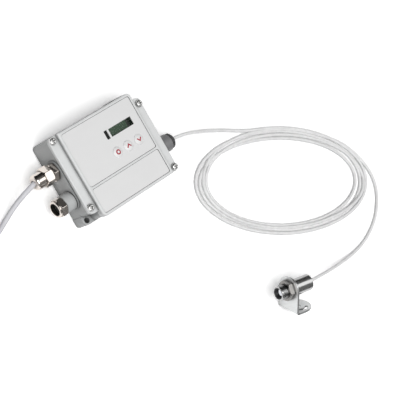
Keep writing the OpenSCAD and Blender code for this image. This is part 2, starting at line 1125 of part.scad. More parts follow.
module sensor_cable_box_end() {
    color([0.9, 0.9, 0.9])
        tube(sensor_route_out, sensor_d, 8);
}

module sensor_cable_head_end() {
    color([0.9, 0.9, 0.9])
        tube(sensor_route_in, sensor_d, 8);
}

// An oval with its centre and its two half lengths, turned as the coil lies
module oval(shape) {
    polygon([for (step = [0 : oval_steps - 1])
        let (
            turn = step * 360 / oval_steps,
            along = shape[2] * cos(turn),
            across = shape[3] * sin(turn)
        )
        [
            shape[0] + along * cos(oval_turn) - across * sin(oval_turn),
            shape[1] + along * sin(oval_turn) + across * cos(oval_turn)
        ]]);
}

module sensor_cable_coil() {
    color([0.9, 0.9, 0.9])
        linear_extrude(oval_h)
            difference() {
                oval(oval_outer);
                oval(oval_inner);
            }
}

module supply_cable() {
    color([0.8, 0.81, 0.84])
        tube(supply_route, supply_d, 10);
}

module supply_cable_coil() {
    color([0.8, 0.81, 0.84])
        translate(store_place)
            rotate_extrude()
                translate([store_r, supply_d])
                    rounded_rect(2 * store_half, 2 * supply_d, supply_d / 2 - 0.1);
}

module supply_cores() {
    color([0.6, 0.3, 0.2])
        for (core = [-1 : 1])
            rod(
                cores_start + [0, core * core_gap_start, 0],
                cores_end + [0, core * core_gap_end, 0],
                core_d
            );
}

// Each ferrule has a plastic sleeve round the core and a bare pin before it
module supply_ferrules() {
    color([0.75, 0.75, 0.76])
        for (core = [-1 : 1])
            translate(cores_end + [0, core * core_gap_end, 0])
                rotate([0, 90, 0]) {
                    hole(2.2, 0, 2.5);
                    hole(core_d, 2, 8.5);
                }
}

base_housing();
lid();
lid_gasket();
lid_screws();
upper_label();
lower_label();
display_window();
status_window();
display_module();
display_board();
display_screws();
key_switches();
button_mode();
button_up();
button_down();
actuator_mode();
actuator_up();
actuator_down();
board_link();
main_board();
board_screws();
supply_terminals();
sensor_terminals();
processor();
capacitors();
supply_gland_body();
supply_gland_nut();
supply_gland_seal();
supply_gland_locknut();
spare_gland_body();
spare_gland_nut();
spare_gland_seal();
spare_gland_locknut();
relief_body();
relief_nut();
relief_sleeve();
relief_locknut();
supply_lead_in();
sensor_lead_in();
head_housing();
head_nut();
lens();
lens_ring();
detector();
head_board();
head_rear_cap();
bracket();
sensor_cable_box_end();
sensor_cable_coil();
sensor_cable_head_end();
supply_cable();
supply_cable_coil();
supply_cores();
supply_ferrules();
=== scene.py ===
"""The looks of the infrared temperature sensor: finishes, cables, signs, studio and camera."""

import json
import math

import bpy
from mathutils import Matrix, Vector


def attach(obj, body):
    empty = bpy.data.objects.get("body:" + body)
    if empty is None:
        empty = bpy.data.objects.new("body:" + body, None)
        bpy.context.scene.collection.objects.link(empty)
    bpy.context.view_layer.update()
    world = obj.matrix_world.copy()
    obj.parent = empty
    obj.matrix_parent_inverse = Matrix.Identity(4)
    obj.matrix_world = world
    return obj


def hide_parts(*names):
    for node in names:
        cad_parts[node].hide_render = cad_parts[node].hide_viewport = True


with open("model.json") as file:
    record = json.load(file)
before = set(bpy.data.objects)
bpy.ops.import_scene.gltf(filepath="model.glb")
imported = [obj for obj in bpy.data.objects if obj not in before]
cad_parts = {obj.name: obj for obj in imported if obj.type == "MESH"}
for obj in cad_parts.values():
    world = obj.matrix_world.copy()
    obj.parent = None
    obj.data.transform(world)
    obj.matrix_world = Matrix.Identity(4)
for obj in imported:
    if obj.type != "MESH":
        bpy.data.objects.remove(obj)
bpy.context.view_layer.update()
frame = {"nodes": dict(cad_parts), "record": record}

# Places and sizes are in millimetres, as in the part's source, where nothing else is said. This
# turns them into metres.
MM = 0.001

# The corners of a square about its middle, in order
SQUARE = ((-1, -1), (1, -1), (1, 1), (-1, 1))

# The photograph's camera: its place in metres, its angles and field of view in degrees, and the
# nearest and farthest thing it sees
CAMERA_PLACE = (-0.51225, 0.05473, 0.81622)
CAMERA_AZIMUTH = -102.026
CAMERA_ELEVATION = 54.074
CAMERA_ROLL = 70.295
CAMERA_FOV = 18.0
CAMERA_CLIP = (0.05, 60)

# The cables' diameters, and their routes outside the coils, repeated from the part's source
SENSOR_D = 2.8
SUPPLY_D = 4.0
SENSOR_OUT = [
    (58.5, -14.1, 15.4), (61.5, -14.1, 15.4), (69, -15, 15.2), (77, -16.6, 14.2), (84, -18.7, 12.5),
    (92, -21.2, 10.2), (100.5, -24.1, 7.6), (108.5, -27.2, 5.2), (117.5, -30.9, 3.2),
    (125.5, -34.8, 2), (133, -38.6, 1.5), (140.5, -42.3, 1.4),
]
SENSOR_IN = [
    (239.4, -127, 1.6), (240, -135.5, 1.4), (239.2, -143.2, 1.4), (236.1, -150.8, 1.4),
    (231.5, -157.5, 1.4), (225.9, -163.6, 1.4), (219.3, -169.2, 1.4), (210.1, -174.3, 1.4),
    (200.6, -178.1, 1.4), (189.1, -180.8, 1.4), (177, -181.6, 2.2), (164, -181, 4.2),
    (150.8, -179.4, 7.4), (137.6, -177.5, 11), (126.2, -175.3, 14.8), (115.7, -173.3, 18),
    (108.8, -172, 19.2), (105.9, -171.4, 19.3), (103.5, -170.8, 19.3),
]
SUPPLY_ROUTE = [
    (-63.7, 12.1, 15.4), (-65, 12.1, 15.4), (-71.5, 10.3, 14.7), (-77.3, 8.4, 12.7),
    (-82.7, 6.1, 9.9), (-87.2, 3.5, 6.8), (-91.2, 0.9, 4.5), (-95.5, -1.6, 2.9),
    (-100.2, -4, 2.1), (-105.2, -6.3, 2), (-110, -7.6, 2.2), (-117, -8, 3.9), (-123, -8, 5.7),
]

# The sensor cable's coil: its middle, and in degrees its turn and where its oval begins and ends.
# Its half lengths and half widths are given at places counted in turns.
OVAL_MIDDLE = (150.3, -95.5)
OVAL_TURN = -25
OVAL_START = 104.6
OVAL_END = 38
OVAL_TURNS = 4
OVAL_STEPS = 40
HALF_LENGTHS = [
    (-0.25, 91.5), (0.25, 91.5), (0.75, 90.8), (1.25, 84.5), (1.75, 86.9), (2.25, 79.0),
    (2.75, 80.4), (3.25, 88.0), (3.75, 84.0), (4.15, 95.1),
]
HALF_WIDTHS = [
    (-0.1, 46.0), (0, 46.0), (0.5, 44.4), (1, 43.2), (1.5, 41.4), (2, 37.0), (2.5, 37.4),
    (3, 40.2), (3.5, 39.5), (4, 44.8), (4.15, 45.0),
]
OVAL_EXIT = [(233.8, -110), (237.4, -118.4)]

# How a strand bridges what it crosses: its drop with the square of the way, how far a bridge
# reaches, and how many diameters along the cable count as the same stretch of it
BRIDGE_DROP = 0.0045
BRIDGE_REACH = 40
SAME_STRETCH = 4

# The supply cable's stored coil: its middle and mean radius, and its slots outwards and layers
# upwards, in cable diameters, at places counted in turns
STORE_MIDDLE = (-132, 20)
STORE_R = 24
STORE_TURNS = 5.5
STORE_STEPS = 36
STORE_SLOTS = [
    (0, 1), (0.83, 1), (1, 0), (1.83, 0), (2, -1), (3.5, -1), (3.67, 0), (4.5, 0), (4.67, 1),
    (5.5, 1),
]
STORE_LAYERS = [(0, 1), (2.62, 1), (2.9, 0), (5.5, 0)]
STORE_TAIL = [(4, 28), (8, 28), (10.9, 28)]

# The tie round it: its place in degrees, half the room inside it and its top, and its own sizes
TIE_ANGLE = 215
TIE_HALF_ROOM = 6.1
TIE_TOP = 8.1
TIE_CORNER_R = 1.6
TIE_CORNER_STEPS = 6
TIE_T = 0.5
TIE_HALF_W = 1.5
TIE_FLOOR = 0.02

# The buttons: their places, the top, radius and rise of a cap, and the radius of its dome
KEY_PLACES = {"mode": (1.5, 0.5), "up": (12.5, 0.5), "down": (23.5, 0.5)}
KEY_TOP = 30.9
KEY_R = 4
KEY_RISE = 0.9
KEY_DOME_R = (KEY_R ** 2 + KEY_RISE ** 2) / (2 * KEY_RISE)

# The soft skirt round each cap, as radius and height: a lip over the dome's rim, then the foot
SKIRT_INNER_R = 3.7
SKIRT_LIP_R = 3.95
SKIRT_INNER_RISE = 0.02
SKIRT_LIP_RISE = 0.015
SKIRT_FOOT = [(4.14, 29.85), (4.23, 29.61), (4.23, 29.3), (SKIRT_INNER_R, 29.3)]

# The signs printed on them: the line's width, height and depth, the least share of a corner that
# a mitre allows for, the ring's radius and the caret's corners
SIGN_W = 1.0
SIGN_H = 0.025
SIGN_DEPTH = 0.05
SIGN_MITRE = 0.4
RING_R = 1.55
RING_STEPS = 36
CARET = [(-1.85, -1.1), (0, 1.15), (1.85, -1.1)]

# The printed border of the narrow window: its middle, half sizes inside and outside, and heights
STATUS_PLACE = (0.8, 15.6)
STATUS_INSIDE = (1.15, 3.1)
STATUS_OUTSIDE = (1.45, 3.5)
STATUS_HEIGHTS = (29.59, 29.62)

# The head: the middle of its bracket plate's front face, its turn in degrees, its axis backwards
# and the level direction across it
HEAD_PLACE = Vector((85.0, -166.4, 19.28))
HEAD_TURN = 13.5
HEAD_AXIS = Vector((math.cos(math.radians(HEAD_TURN)), -math.sin(math.radians(HEAD_TURN)), 0))
HEAD_SIDE = Vector((math.sin(math.radians(HEAD_TURN)), math.cos(math.radians(HEAD_TURN)), 0))

# Its thread, between two places on the axis, with the radius and half width of the ridge at its
# root and crest, and the stretch of the front that is darker: a duller metal and painted shade
THREAD_START = -10.9
THREAD_END = -5.05
THREAD_PITCH = 1.0
THREAD_ROOT_R = 5.9
THREAD_ROOT_HALF_W = 0.46
THREAD_CREST_R = 6.12
THREAD_CREST_HALF_W = 0.07
THREAD_STEPS = 60
DARK_START = -10.8
DARK_END = -0.1

# Where the display goes from green to black, along the box
DISPLAY_END = (22.6, 23.1)

# The floor: half its side and its drop in metres, its colour where it gives light to the object,
# and its colour where it is seen or mirrored
FLOOR_HALF = 40.0
FLOOR_DROP = 0.00005
FLOOR_LIT = (0.34, 0.34, 0.34)
FLOOR_SEEN = (1.3, 1.3, 1.3)


def metres(points):
    """Points in millimetres as vectors in metres."""
    return [Vector(p) * MM for p in points]


# Camera

def make_camera():
    """The photograph's camera, turned by its azimuth and elevation and then rolled."""
    azimuth = math.radians(CAMERA_AZIMUTH)
    elevation = math.radians(CAMERA_ELEVATION)
    roll = math.radians(CAMERA_ROLL)
    back = Vector((
        math.sin(azimuth) * math.cos(elevation),
        -math.cos(azimuth) * math.cos(elevation),
        math.sin(elevation),
    ))
    level = Vector((math.cos(azimuth), math.sin(azimuth), 0))
    right = math.cos(roll) * level + math.sin(roll) * back.cross(level)
    camera = bpy.data.objects.new("camera", bpy.data.cameras.new("camera"))
    bpy.context.scene.collection.objects.link(camera)
    turn = Matrix((right, back.cross(right), back)).transposed().to_4x4()
    camera.matrix_world = Matrix.Translation(CAMERA_PLACE) @ turn
    camera.data.angle = math.radians(CAMERA_FOV)
    camera.data.clip_start, camera.data.clip_end = CAMERA_CLIP
    bpy.context.scene.camera = camera


# Cables

def eased(stations, place):
    """The value at a place between (place, value) stations, with a level start and end at each."""
    for (low, a), (high, b) in zip(stations, stations[1:]):
        if place <= high:
            t = max(0.0, (place - low) / (high - low))
            return a + (b - a) * t * t * (3 - 2 * t)
    return stations[-1][1]


def flowing(stations, place):
    """The value at a place on a smooth curve through (place, value) stations."""
    last = len(stations) - 1
    i = next((k for k in range(last) if place <= stations[k + 1][0]), last - 1)
    (x0, y0), (x1, y1) = stations[i], stations[i + 1]

    def slope(k):
        low, high = stations[max(k - 1, 0)], stations[min(k + 1, last)]
        return (high[1] - low[1]) / (high[0] - low[0]) * (x1 - x0)

    t = (place - x0) / (x1 - x0)
    return (
        y0 * (1 + 2 * t) * (1 - t) ** 2 + slope(i) * t * (1 - t) ** 2
        + y1 * t * t * (3 - 2 * t) - slope(i + 1) * t * t * (1 - t)
    )


def oval_plan():
    """The plan of the loose coil, turn by turn, clockwise from where the cable joins it."""
    along = math.radians(OVAL_TURN)
    start = (90 - OVAL_START) / 360
    end = OVAL_TURNS + (90 - OVAL_END) / 360
    steps = round((end - start) * OVAL_STEPS)
    plan = []
    for step in range(steps + 1):
        turns = start + (end - start) * step / steps
        angle = math.radians(90 - 360 * turns)
        u = flowing(HALF_LENGTHS, turns) * math.cos(angle)
        v = flowing(HALF_WIDTHS, turns) * math.sin(angle)
        plan.append(Vector((
            OVAL_MIDDLE[0] + u * math.cos(along) - v * math.sin(along),
            OVAL_MIDDLE[1] + u * math.sin(along) + v * math.cos(along),
        )))
    return plan + [Vector(p) for p in OVAL_EXIT]


def resting_heights(before, plan, d):
    """Heights of a cable laid down in order: it lies on the floor, or on what it crosses.

    The stretch before the plan has heights of its own. What crosses another strand is bridged
    down to the floor on both sides.
    """
    apart = SAME_STRETCH * d
    places = [p.xy for p in before] + plan
    run = [0.0]
    for a, b in zip(places, places[1:]):
        run.append(run[-1] + (b - a).length)
    heights = [p.z for p in before] + [d / 2] * len(plan)
    first = len(before)
    for i in range(first, len(places)):
        support = d / 2
        for j in range(i):
            flat = (places[i] - places[j]).length
            if flat < d and run[i] - run[j] > apart:
                support = max(support, heights[j] + math.sqrt(d * d - flat * flat))
        heights[i] = support
        for j in range(i - 1, first, -1):
            bridge = support - BRIDGE_DROP * (run[i] - run[j]) ** 2
            if bridge < heights[j]:
                break
            heights[j] = bridge
        for j in range(i - 1, 0, -1):
            bridge = heights[j] - BRIDGE_DROP * (run[i] - run[j]) ** 2
            if run[i] - run[j] > BRIDGE_REACH:
                break
            heights[i] = max(heights[i], bridge)
    return heights[first:]


def sensor_route():
    """The whole sensor cable, from the box through its coil to the head."""
    plan = oval_plan()
    heights = resting_heights([Vector(p) for p in SENSOR_OUT], plan, SENSOR_D)
    coil = [(p.x, p.y, z) for p, z in zip(plan, heights)]
    return SENSOR_OUT + coil + SENSOR_IN


def store_turns():
    """The stored coil's turns: the upper layer inwards, then the lower layer outwards."""
    steps = round(STORE_TURNS * STORE_STEPS)
    points = []
    for step in range(steps + 1):
        turns = STORE_TURNS * step / steps
        angle = math.radians(-90 - 360 * turns)
        r = STORE_R + SUPPLY_D * eased(STORE_SLOTS, turns)
        points.append((
            STORE_MIDDLE[0] + r * math.cos(angle),
            STORE_MIDDLE[1] + r * math.sin(angle),
            SUPPLY_D * (0.5 + eased(STORE_LAYERS, turns)),
        ))
    return points


def supply_route():
    """The whole supply cable, from the box through its stored coil to its bare end."""
    tail = [(STORE_MIDDLE[0] + x, STORE_MIDDLE[1] + y, SUPPLY_D / 2) for x, y in STORE_TAIL]
    return SUPPLY_ROUTE + store_turns() + tail


def length_of(points):
    """The length of a line through points."""
    return sum((b - a).length for a, b in zip(points, points[1:]))


def cable(name, route, diameter, slot):
    """A round cable along a route, as one smooth curve."""
    points = metres(route)
    curve = bpy.data.curves.new(name, "CURVE")
    curve.dimensions = "3D"
    curve.bevel_depth = diameter * MM / 2
    curve.bevel_resolution = 5
    curve.resolution_u = 4
    curve.use_fill_caps = True
    spline = curve.splines.new("NURBS")
    spline.points.add(len(points) - 1)
    for knot, p in zip(spline.points, points):
        knot.co = (*p, 1)
    spline.order_u = 4
    spline.use_endpoint_u = True
    piece = bpy.data.objects.new(name, curve)
    bpy.context.scene.collection.objects.link(piece)
    piece.data.materials.append(MATERIALS[slot])
    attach(piece, "root")
    return piece, length_of(points)


def make_cables():
    """Both cables as smooth curves in the place of their coarse solids."""
    route = sensor_route()
    piece, length = cable("sensor_cable", route, SENSOR_D, "cable_white")
    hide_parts("sensor_cable_box_end", "sensor_cable_coil", "sensor_cable_head_end")
    tie = make_tie()
    route = supply_route()
    piece, length = cable("supply_cable_whole", route, SUPPLY_D, "cable_grey")
    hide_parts("supply_cable", "supply_cable_coil")


# Small pieces

def solid(name, points, faces, finish, body):
    """A mesh piece of points in millimetres that rides on a body, with its finish."""
    mesh = bpy.data.meshes.new(name)
    mesh.from_pydata(metres(points), [], faces)
    mesh.validate()
    piece = bpy.data.objects.new(name, mesh)
    bpy.context.scene.collection.objects.link(piece)
    mesh.materials.append(MATERIALS[finish])
    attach(piece, body)
    return piece


def skin(count, rows, closed):
    """The faces between rows of points, where each row is a closed section of a count of points."""
    faces = []
    for row in range(rows if closed else rows - 1):
        here, there = row * count, (row + 1) % rows * count
        for k in range(count):
            after = (k + 1) % count
            faces.append((here + k, there + k, there + after, here + after))
    if not closed:
        last = (rows - 1) * count
        faces += [tuple(range(count)), tuple(last + k for k in reversed(range(count)))]
    return faces


def lathe(name, middle, section, finish, body, steps=72):
    """A ring turned about an upright axis from a closed section of (radius, height) points."""
    points = []
    for step in range(steps):
        angle = math.tau * step / steps
        points += [
            (middle[0] + r * math.cos(angle), middle[1] + r * math.sin(angle), z)
            for r, z in section
        ]
    return solid(name, points, skin(len(section), steps, closed=True), finish, body)


def dome_height(r):
    """The height of a button's dome at a distance from its middle."""
    return KEY_TOP - KEY_DOME_R + math.sqrt(KEY_DOME_R ** 2 - r * r)


def strokes(corners, steps=6):
    """Points along straight strokes between corners, close enough together to follow a dome."""
    points = [corners[0]]
    for (x0, y0), (x1, y1) in zip(corners, corners[1:]):
        points += [
            (x0 + (x1 - x0) * k / steps, y0 + (y1 - y0) * k / steps) for k in range(1, steps + 1)
        ]
    return points


def key_sign(name, middle, line, closed, body):
    """A thin printed line on a button's dome, along points given from the button's middle."""
    half = SIGN_W / 2
    path = [Vector(p) for p in line]
    points = []
    last = len(path) - 1
    for i, p in enumerate(path):
        if closed:
            ahead, behind = path[(i + 1) % len(path)], path[i - 1]
        else:
            ahead, behind = path[min(i + 1, last)], path[max(i - 1, 0)]
        into, out = (p - behind), (ahead - p)
        into = (into if into.length else out).normalized()
        out = (out if out.length else into).normalized()
        along = (into + out).normalized()
        side = Vector((-along.y, along.x)) * half / max(SIGN_MITRE, along.dot(out))
        for q in (p + side, p, p - side):
            low = dome_height(q.length)
            points.append((middle[0] + q.x, middle[1] + q.y, min(KEY_TOP, low + SIGN_H)))
            points.append((middle[0] + q.x, middle[1] + q.y, low - SIGN_DEPTH))
    faces = []
    for i in range(len(path) if closed else last):
        a, b = i * 6, (i + 1) % len(path) * 6
        faces += [
            (a, b, b + 2, a + 2), (a + 2, b + 2, b + 4, a + 4), (a + 1, a + 3, b + 3, b + 1),
            (a + 3, a + 5, b + 5, b + 3), (a, a + 1, b + 1, b), (a + 4, b + 4, b + 5, a + 5),
        ]
    if not closed:
        faces += [(0, 2, 3, 1), (2, 4, 5, 3)]
        end = last * 6
        faces += [(end, end + 1, end + 3, end + 2), (end + 2, end + 3, end + 5, end + 4)]
    solid(name, points, faces, "sign_red", body)


def make_buttons():
    """Each button's soft skirt, which closes the gap round its cap, and its printed sign."""
    angles = [math.tau * k / RING_STEPS for k in range(RING_STEPS)]
    ring = [(RING_R * math.cos(a), RING_R * math.sin(a)) for a in angles]
    caret = strokes(CARET)
    signs = {
        "mode": (ring, True),
        "up": (caret, False),
        "down": ([(x, -y) for x, y in caret], False),
    }
    lip = [
        (SKIRT_INNER_R, dome_height(SKIRT_INNER_R) + SKIRT_INNER_RISE),
        (SKIRT_LIP_R, dome_height(SKIRT_LIP_R) + SKIRT_LIP_RISE),
    ]
    for key, (line, closed) in signs.items():
        middle = KEY_PLACES[key]
        lathe(
            f"button_{key}_skirt", middle, lip + SKIRT_FOOT, "button_white", f"key_{key}",
        )
        key_sign(f"button_{key}_sign", middle, line, closed, f"key_{key}")


def make_status_frame():
    """The black border printed round the narrow window beside the display."""
    points, faces = [], []
    for half_x, half_y in (STATUS_INSIDE, STATUS_OUTSIDE):
        for z in STATUS_HEIGHTS:
            points += [
                (STATUS_PLACE[0] + x * half_x, STATUS_PLACE[1] + y * half_y, z) for x, y in SQUARE
            ]
    for k in range(4):
        n = (k + 1) % 4
        faces += [
            (4 + k, 4 + n, 12 + n, 12 + k), (k, 8 + k, 8 + n, n),
            (k, n, 4 + n, 4 + k), (8 + k, 12 + k, 12 + n, 8 + n),
        ]
    solid("status_window_border", points, faces, "print_black", "root")


def make_tie():
    """A flat tie round the stored coil's turns, on the side away from the box."""
    angle = math.radians(TIE_ANGLE)
    out = Vector((math.cos(angle), math.sin(angle), 0))
    side = Vector((-out.y, out.x, 0))
    across = TIE_HALF_ROOM - TIE_CORNER_R
    high, low = TIE_TOP - TIE_CORNER_R, TIE_CORNER_R
    corners = [(across, high, 0), (-across, high, 90), (-across, low, 180), (across, low, 270)]
    outline = []
    for cx, cz, start in corners:
        for step in range(TIE_CORNER_STEPS + 1):
            a = math.radians(start + 90 * step / TIE_CORNER_STEPS)
            outline.append((cx, cz, math.cos(a), math.sin(a)))
    points, faces = [], []
    for cx, cz, c, s in outline:
        for r in (TIE_CORNER_R, TIE_CORNER_R + TIE_T):
            for w in (-TIE_HALF_W, TIE_HALF_W):
                p = out * (STORE_R + cx + r * c) + side * w
                z = max(TIE_FLOOR, cz + r * s)
                points.append((STORE_MIDDLE[0] + p.x, STORE_MIDDLE[1] + p.y, z))
    count = len(outline)
    for i in range(count):
        a, b = i * 4, (i + 1) % count * 4
        faces += [
            (a, a + 1, b + 1, b), (a + 2, b + 2, b + 3, a + 3),
            (a, b, b + 2, a + 2), (a + 1, a + 3, b + 3, b + 1),
        ]
    return solid("supply_coil_tie", points, faces, "tie_black", "root")


def make_thread():
    """The thread of the head's front, as one ridge wound round it between the nut and the rim."""
    ridge = [
        (-THREAD_ROOT_HALF_W, THREAD_ROOT_R), (-THREAD_CREST_HALF_W, THREAD_CREST_R),
        (THREAD_CREST_HALF_W, THREAD_CREST_R), (THREAD_ROOT_HALF_W, THREAD_ROOT_R),
    ]
    length = THREAD_END - THREAD_START - THREAD_PITCH
    steps = round(length / THREAD_PITCH * THREAD_STEPS)
    points = []
    for step in range(steps + 1):
        angle = math.tau * step / THREAD_STEPS
        out = HEAD_SIDE * math.cos(angle) + Vector((0, 0, math.sin(angle)))
        middle = THREAD_START + THREAD_PITCH / 2 + length * step / steps
        points += [HEAD_PLACE + HEAD_AXIS * (middle + along) + out * r for along, r in ridge]
    faces = skin(len(ridge), steps + 1, closed=False)
    solid("head_thread", points, faces, "head_body", "root")


# Materials

def add(tree, kind, **values):
    """A node of a kind. A value whose name starts with _ is a property, and the rest are sockets."""
    node = tree.nodes.new(kind)
    for name, value in values.items():
        if name.startswith("_"):
            setattr(node, name[1:], value)
        else:
            node.inputs[name.replace("_", " ")].default_value = value
    return node


def chosen(tree, factor, first, second):
    """A colour that goes from the first to the second with a factor's socket."""
    mix = add(tree, "ShaderNodeMix", _data_type="RGBA")
    tree.links.new(factor, mix.inputs["Factor"])
    for socket, value in zip([s for s in mix.inputs if s.type == "RGBA"], (first, second)):
        if isinstance(value, tuple):
            socket.default_value = (*value, 1)
        else:
            tree.links.new(value, socket)
    return next(s for s in mix.outputs if s.type == "RGBA")


def surface(name, colour, metallic=0.0, roughness=0.4, **sockets):
    """A material with one shader, whose colour and roughness the functions below can vary."""
    material = bpy.data.materials.new(name)
    material.use_nodes = True
    shader = material.node_tree.nodes["Principled BSDF"]
    shader.inputs["Base Color"].default_value = (*colour, 1)
    shader.inputs["Metallic"].default_value = metallic
    shader.inputs["Roughness"].default_value = roughness
    for socket, value in sockets.items():
        shader.inputs[socket.replace("_", " ")].default_value = value
    return material


def pattern(tree, scale, stretch=(1, 1, 1), turn=0.0):
    """Noise over the part's own coordinates, in cells of 1/scale of a metre."""
    place = add(tree, "ShaderNodeTexCoord")
    mapping = add(tree, "ShaderNodeMapping", Scale=stretch, Rotation=(0, 0, math.radians(turn)))
    noise = add(tree, "ShaderNodeTexNoise", Scale=scale, Detail=4.0)
    tree.links.new(place.outputs["Object"], mapping.inputs["Vector"])
    tree.links.new(mapping.outputs["Vector"], noise.inputs["Vector"])
    return noise.outputs["Fac"]


def vary(material, scale, amount, rough=0.0, **how):
    """Lets the colour wander by an amount, and the roughness with it."""
    tree = material.node_tree
    shader = tree.nodes["Principled BSDF"]
    noise = pattern(tree, scale, **how)
    ramp = add(tree, "ShaderNodeValToRGB")
    colour = shader.inputs["Base Color"].default_value
    for stop, place, factor in zip(ramp.color_ramp.elements, (0.3, 0.7), (1 - amount, 1 + amount)):
        stop.position = place
        stop.color = (*(min(1.0, c * factor) for c in colour[:3]), 1)
    tree.links.new(noise, ramp.inputs["Fac"])
    tree.links.new(ramp.outputs["Color"], shader.inputs["Base Color"])
    if rough:
        level = shader.inputs["Roughness"].default_value
        spread = add(
            tree, "ShaderNodeMapRange", From_Min=0.3, From_Max=0.7, To_Min=level - rough,
            To_Max=level + rough,
        )
        tree.links.new(noise, spread.inputs["Value"])
        tree.links.new(spread.outputs["Result"], shader.inputs["Roughness"])
    return material


def relief(material, scale, depth, edge=0.0, strength=0.5, **how):
    """A fine surface relief of a depth in metres, and edges rounded by a radius."""
    tree = material.node_tree
    shader = tree.nodes["Principled BSDF"]
    bump = add(tree, "ShaderNodeBump", Strength=strength, Distance=depth)
    tree.links.new(pattern(tree, scale, **how), bump.inputs["Height"])
    if edge:
        bevel = add(tree, "ShaderNodeBevel", Radius=edge, _samples=6)
        tree.links.new(bevel.outputs["Normal"], bump.inputs["Normal"])
    tree.links.new(bump.outputs["Normal"], shader.inputs["Normal"])
    return material


def shade(material, socket):
    """Multiplies a material's colour by a value."""
    tree = material.node_tree
    colour = tree.nodes["Principled BSDF"].inputs["Base Color"]
    scale = add(tree, "ShaderNodeVectorMath", _operation="SCALE")
    tree.links.new(colour.links[0].from_socket, scale.inputs[0])
    tree.links.new(socket, scale.inputs["Scale"])
    tree.links.new(scale.outputs[0], colour)
    return material


def crease_shade(material, reach, dark):
    """Paints shade into gaps and inner corners narrower than a reach in metres, from ambient
    occlusion.
    """
    tree = material.node_tree
    open_to = add(tree, "ShaderNodeAmbientOcclusion", Distance=reach, _samples=8)
    factor = add(tree, "ShaderNodeMapRange", From_Min=0.25, From_Max=0.85, To_Min=dark, To_Max=1.0)
    tree.links.new(open_to.outputs["AO"], factor.inputs["Value"])
    return shade(material, factor.outputs["Result"])


def edges(material, radius, dark):
    """Paints shade in a band along the edges, of a radius in metres, for the dark that edges mirror.
    """
    tree = material.node_tree
    rounded = add(tree, "ShaderNodeBevel", Radius=radius, _samples=8)
    flat = add(tree, "ShaderNodeNewGeometry")
    dot = add(tree, "ShaderNodeVectorMath", _operation="DOT_PRODUCT")
    factor = add(tree, "ShaderNodeMapRange", From_Min=0.8, From_Max=0.995, To_Min=dark, To_Max=1.0)
    tree.links.new(rounded.outputs["Normal"], dot.inputs[0])
    tree.links.new(flat.outputs["Normal"], dot.inputs[1])
    tree.links.new(dot.outputs["Value"], factor.inputs["Value"])
    return shade(material, factor.outputs["Result"])


def darker_front(material, dark):
    """Darkens the threaded front between two places on the axis: duller metal and painted shade."""
    tree = material.node_tree
    place = add(tree, "ShaderNodeTexCoord")
    offset = add(tree, "ShaderNodeVectorMath", _operation="SUBTRACT")
    along = add(tree, "ShaderNodeVectorMath", _operation="DOT_PRODUCT")
    offset.inputs[1].default_value = HEAD_PLACE * MM
    along.inputs[1].default_value = HEAD_AXIS
    inside = add(tree, "ShaderNodeMath", _operation="COMPARE")
    inside.inputs[1].default_value = (DARK_START + DARK_END) / 2 * MM
    inside.inputs[2].default_value = (DARK_END - DARK_START) / 2 * MM
    tone = add(tree, "ShaderNodeMapRange", From_Min=0.0, From_Max=1.0, To_Min=1.0, To_Max=dark)
    tree.links.new(place.outputs["Object"], offset.inputs[0])
    tree.links.new(offset.outputs[0], along.inputs[0])
    tree.links.new(along.outputs["Value"], inside.inputs[0])
    tree.links.new(inside.outputs[0], tone.inputs["Value"])
    return shade(material, tone.outputs["Result"])


def cast(name, colour):
    """Painted die casting: a fine orange peel over a faintly uneven grey, and painted shade in
    creases.
    """
    material = surface(name, colour, roughness=0.38)
    vary(material, 90, 0.04, rough=0.05)
    crease_shade(material, 0.0026, 0.14)
    crease_shade(material, 0.009, 0.4)
    return relief(material, 1500, 0.00008, edge=0.0004, strength=0.35)


def steel(name, colour, roughness, stretch=(1, 1, 1), turn=0.0):
    """Bare metal with a fine grain, which a stretch draws out into marks along one direction."""
    material = surface(name, colour, metallic=1.0, roughness=roughness)
    vary(material, 700, 0.06, rough=0.06, stretch=stretch, turn=turn)
    return relief(material, 1800, 0.00003, edge=0.0003, strength=0.3, stretch=stretch, turn=turn)


def plastic(name, colour, roughness):
    """Moulded or coated plastic, and rubber, with a fine grain."""
    material = surface(name, colour, roughness=roughness)
    vary(material, 220, 0.06, rough=0.04)
    return relief(material, 1200, 0.00004, edge=0.0002, strength=0.25)


def display(name):
    """An unlit green display that turns black past a place along the box."""
    material = plastic(name, (0.035, 0.085, 0.042), 0.35)
    tree = material.node_tree
    place = add(tree, "ShaderNodeTexCoord")
    split = add(tree, "ShaderNodeSeparateXYZ")
    start, end = DISPLAY_END
    lit = add(
        tree, "ShaderNodeMapRange", From_Min=start * MM, From_Max=end * MM, To_Min=1.0,
        To_Max=0.14,
    )
    tree.links.new(place.outputs["Object"], split.inputs["Vector"])
    tree.links.new(split.outputs["X"], lit.inputs["Value"])
    return shade(material, lit.outputs["Result"])


